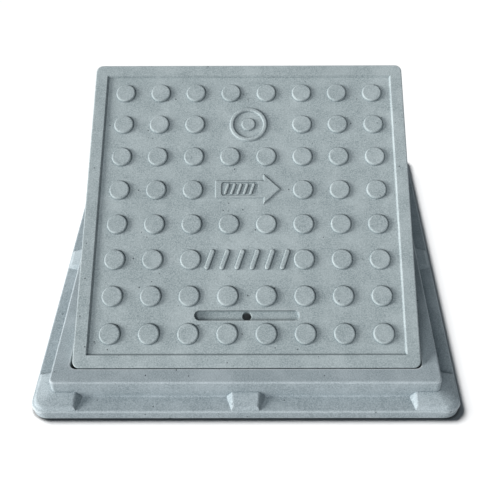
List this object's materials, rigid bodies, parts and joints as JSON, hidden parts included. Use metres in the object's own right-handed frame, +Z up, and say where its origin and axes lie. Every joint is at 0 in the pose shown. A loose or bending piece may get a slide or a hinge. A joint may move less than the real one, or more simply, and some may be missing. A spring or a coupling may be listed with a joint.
{
  "type": "manhole cover",
  "caption": "Square moulded composite manhole cover with round grip studs and a lifting slot, tipped partly open in its flanged frame.",
  "frame": {"origin": "centre of the frame's underside", "axes": "+Z up, +X to the right, -Y towards the front edge that the cover tips on, which is the edge beside the lifting slot"},
  "size_m": [0.421, 0.421, 0.1887],
  "materials": {
    "frame_composite": "bare blue-grey filled polyester moulding with fine mineral speckle",
    "cover_composite": "bare blue-grey filled polyester moulding with fine mineral speckle",
    "gasket_rubber": "matt black extruded rubber"
  },
  "bodies": {
    "frame": {"frame": "frame_composite", "seat_gasket": "gasket_rubber"},
    "cover": {"cover": "cover_composite"}
  },
  "joints": [
    {"name": "cover_tilt", "type": "hinge", "parent": "frame", "child": "cover", "pos_m": [0, -0.17375, 0.0325], "axis": [1, 0, 0], "range_deg": [-27, 63]}
  ]
}
